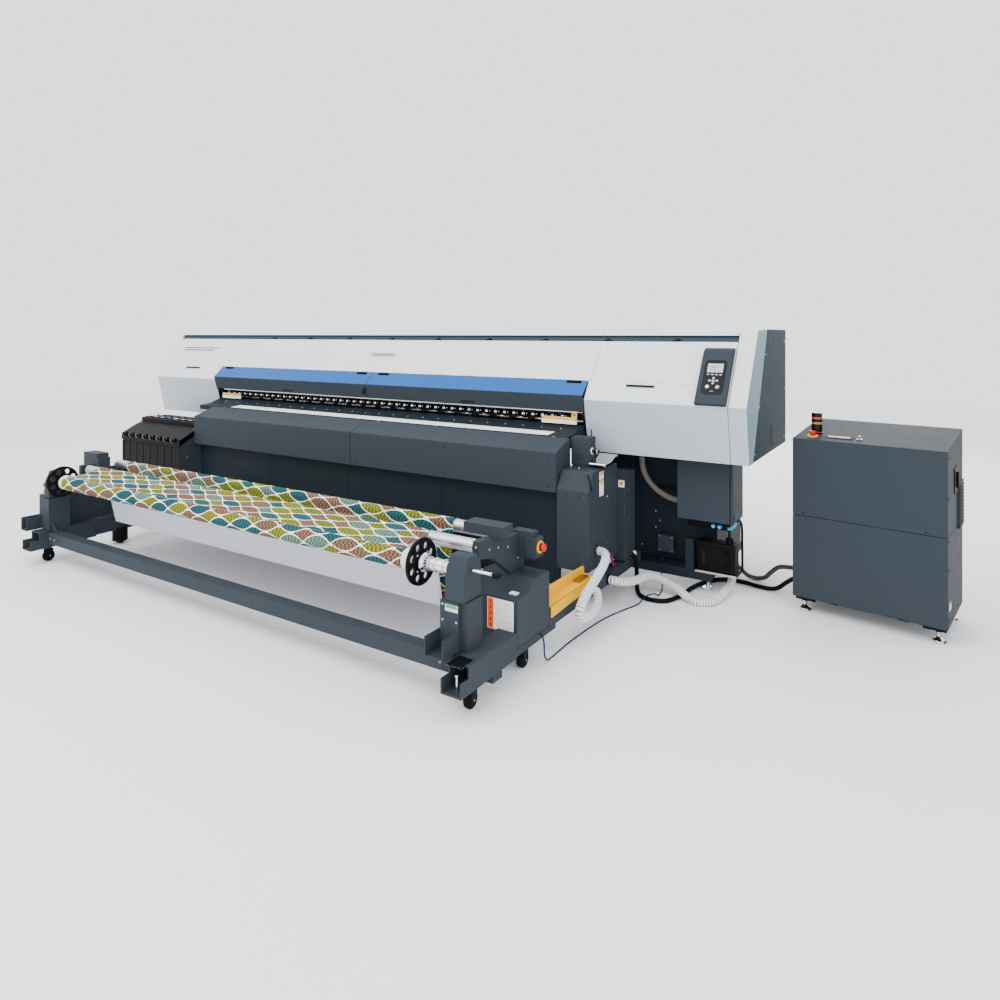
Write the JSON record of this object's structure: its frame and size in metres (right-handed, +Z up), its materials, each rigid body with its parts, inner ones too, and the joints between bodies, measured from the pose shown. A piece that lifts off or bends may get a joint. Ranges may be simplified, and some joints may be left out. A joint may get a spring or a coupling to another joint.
{
  "type": "roll-to-roll textile printer",
  "caption": "Super-wide roll-to-roll textile inkjet printer with sloped housing, take-up unit carrying printed fabric, and a separate control cabinet on hoses",
  "frame": {"origin": "on the floor, at the middle of the standing units", "axes": "+X along the print width to the right, -Y to the operator, +Z up"},
  "size_m": [6.84, 2.92, 1.68],
  "materials": {
    "housing_light": "satin powder coat",
    "end_cap_grey": "satin powder coat",
    "side_dark": "satin powder coat",
    "slate": "fine-textured powder coat",
    "black_plastic": "moulded",
    "black_rubber": "matt",
    "window_blue": "tinted, satin",
    "aluminium": "ground",
    "steel": "plated",
    "black_metal": "painted",
    "stop_red": "moulded",
    "printed_fabric": "woven, printed one side",
    "hose_white": "corrugated",
    "cable_black": "sheath",
    "conduit_grey": "corrugated",
    "network_blue": "sheath",
    "hose_beige": "smooth"
  },
  "bodies": {
    "root": {"housing_rear_wall": "housing_light", "upper_cover": "housing_light", "left_front_housing": "housing_light", "right_front_housing": "housing_light", "left_end_panel": "housing_light", "right_end_cap": "end_cap_grey", "right_side_panel": "side_dark", "housing_floor": "slate", "platen": "slate", "apron_left": "slate", "apron_right": "slate", "lower_cover": "slate", "end_cover": "slate", "duct_column": "slate", "right_leg_frame": "slate", "left_leg_frame": "slate", "electrical_box": "slate", "ink_unit": "slate", "control_panel": "slate", "rail_right": "slate", "rail_left": "slate", "cross_beam": "slate", "column_right": "slate", "side_plate_left": "slate", "motor_cover": "slate", "shaft_block_right": "slate", "shaft_block_left": "slate", "roller_bracket_right": "slate", "roller_bracket_left": "slate", "cabinet_body": "slate", "waste_tank": "black_plastic", "signal_tower": "black_plastic", "carriage_beam": "aluminium", "fabric_web": "printed_fabric", "hose_front": "hose_white", "hose_rear": "hose_white", "power_cable": "cable_black", "control_conduit": "conduit_grey", "network_cable": "network_blue", "drain_hose": "hose_beige"},
    "carriage": {"print_carriage": "black_plastic"},
    "pinch_shaft": {"pinch_rollers": "black_rubber"},
    "left_window": {"window_left": "window_blue"},
    "right_window": {"window_right": "window_blue"},
    "lever": {"pressure_lever": "steel"},
    "hood": {"ink_hood": "black_plastic"},
    "shaft_lock": {"lock_lever": "steel"},
    "roll": {"takeup_roll": "aluminium", "flange_right": "black_plastic", "flange_left": "black_plastic"},
    "front_roller": {"guide_roller_front": "aluminium"},
    "rear_roller": {"guide_roller_rear": "aluminium"},
    "dancer": {"dancer_bar": "black_metal"},
    "takeup_stop": {"stop_button": "stop_red"},
    "wheel_front_right": {"caster_front_right": "black_rubber"},
    "wheel_rear_right": {"caster_rear_right": "black_rubber"},
    "wheel_front_left": {"caster_front_left": "black_rubber"},
    "wheel_rear_left": {"caster_rear_left": "black_rubber"},
    "cabinet_stop": {"cabinet_stop_button": "stop_red"},
    "breaker": {"breaker_handle": "black_plastic"}
  },
  "joints": [
    {"name": "carriage_slide", "type": "slide", "parent": "root", "child": "carriage", "axis": [1, 0, 0], "range_m": [-4.8, 0]},
    {"name": "pinch_spin", "type": "hinge", "parent": "root", "child": "pinch_shaft", "pos_m": [0, 0.33, 1.072], "axis": [1, 0, 0], "continuous": true},
    {"name": "left_window_hinge", "type": "hinge", "parent": "root", "child": "left_window", "pos_m": [-1.5, 0.3615, 1.343], "axis": [-1, 0, 0], "range_deg": [0, 75]},
    {"name": "right_window_hinge", "type": "hinge", "parent": "root", "child": "right_window", "pos_m": [0.4, 0.3615, 1.343], "axis": [-1, 0, 0], "range_deg": [0, 75]},
    {"name": "pressure_lever_hinge", "type": "hinge", "parent": "root", "child": "lever", "pos_m": [1.542, 0.229, 0.895], "axis": [-1, 0, 0], "range_deg": [0, 12]},
    {"name": "ink_hood_hinge", "type": "hinge", "parent": "root", "child": "hood", "pos_m": [-2.57, -0.068, 0.824], "axis": [-1, 0, 0], "range_deg": [0, 70]},
    {"name": "lock_lever_hinge", "type": "hinge", "parent": "root", "child": "shaft_lock", "pos_m": [1.549, -1.266, 0.589], "axis": [0, -1, 0], "range_deg": [0, 90]},
    {"name": "roll_spin", "type": "hinge", "parent": "root", "child": "roll", "pos_m": [0, -1.27, 0.58], "axis": [1, 0, 0], "continuous": true},
    {"name": "front_roller_spin", "type": "hinge", "parent": "root", "child": "front_roller", "pos_m": [0, -1.07, 0.63], "axis": [1, 0, 0], "continuous": true},
    {"name": "rear_roller_spin", "type": "hinge", "parent": "root", "child": "rear_roller", "pos_m": [0, -0.85, 0.64], "axis": [1, 0, 0], "continuous": true},
    {"name": "dancer_rise", "type": "slide", "parent": "root", "child": "dancer", "axis": [0, 0, 1], "range_m": [0, 0.12], "deforming": ["fabric_web"]},
    {"name": "takeup_stop_press", "type": "slide", "parent": "root", "child": "takeup_stop", "axis": [-1, 0, 0], "range_m": [0, 0.005], "stiffness_N_per_m": 600},
    {"name": "wheel_spin_front_right", "type": "hinge", "parent": "root", "child": "wheel_front_right", "pos_m": [1.561, -1.314, 0.04], "axis": [1, 0, 0], "continuous": true},
    {"name": "wheel_spin_rear_right", "type": "hinge", "parent": "root", "child": "wheel_rear_right", "pos_m": [1.561, -0.864, 0.04], "axis": [1, 0, 0], "continuous": true},
    {"name": "wheel_spin_front_left", "type": "hinge", "parent": "root", "child": "wheel_front_left", "pos_m": [-2.181, -1.314, 0.04], "axis": [1, 0, 0], "continuous": true},
    {"name": "wheel_spin_rear_left", "type": "hinge", "parent": "root", "child": "wheel_rear_left", "pos_m": [-2.181, -0.79, 0.04], "axis": [1, 0, 0], "continuous": true},
    {"name": "cabinet_stop_press", "type": "slide", "parent": "root", "child": "cabinet_stop", "axis": [0, 0, -1], "range_m": [0, 0.005], "stiffness_N_per_m": 600},
    {"name": "breaker_turn", "type": "hinge", "parent": "root", "child": "breaker", "pos_m": [3.38384, 0.76469, 0.846], "axis": [0.9903, -0.1392, 0], "range_deg": [0, 90]}
  ],
  "couplings": [
    {"joint": "front_roller_spin", "follows": "roll_spin", "ratio": 1.5152},
    {"joint": "rear_roller_spin", "follows": "roll_spin", "ratio": 1.5152}
  ]
}
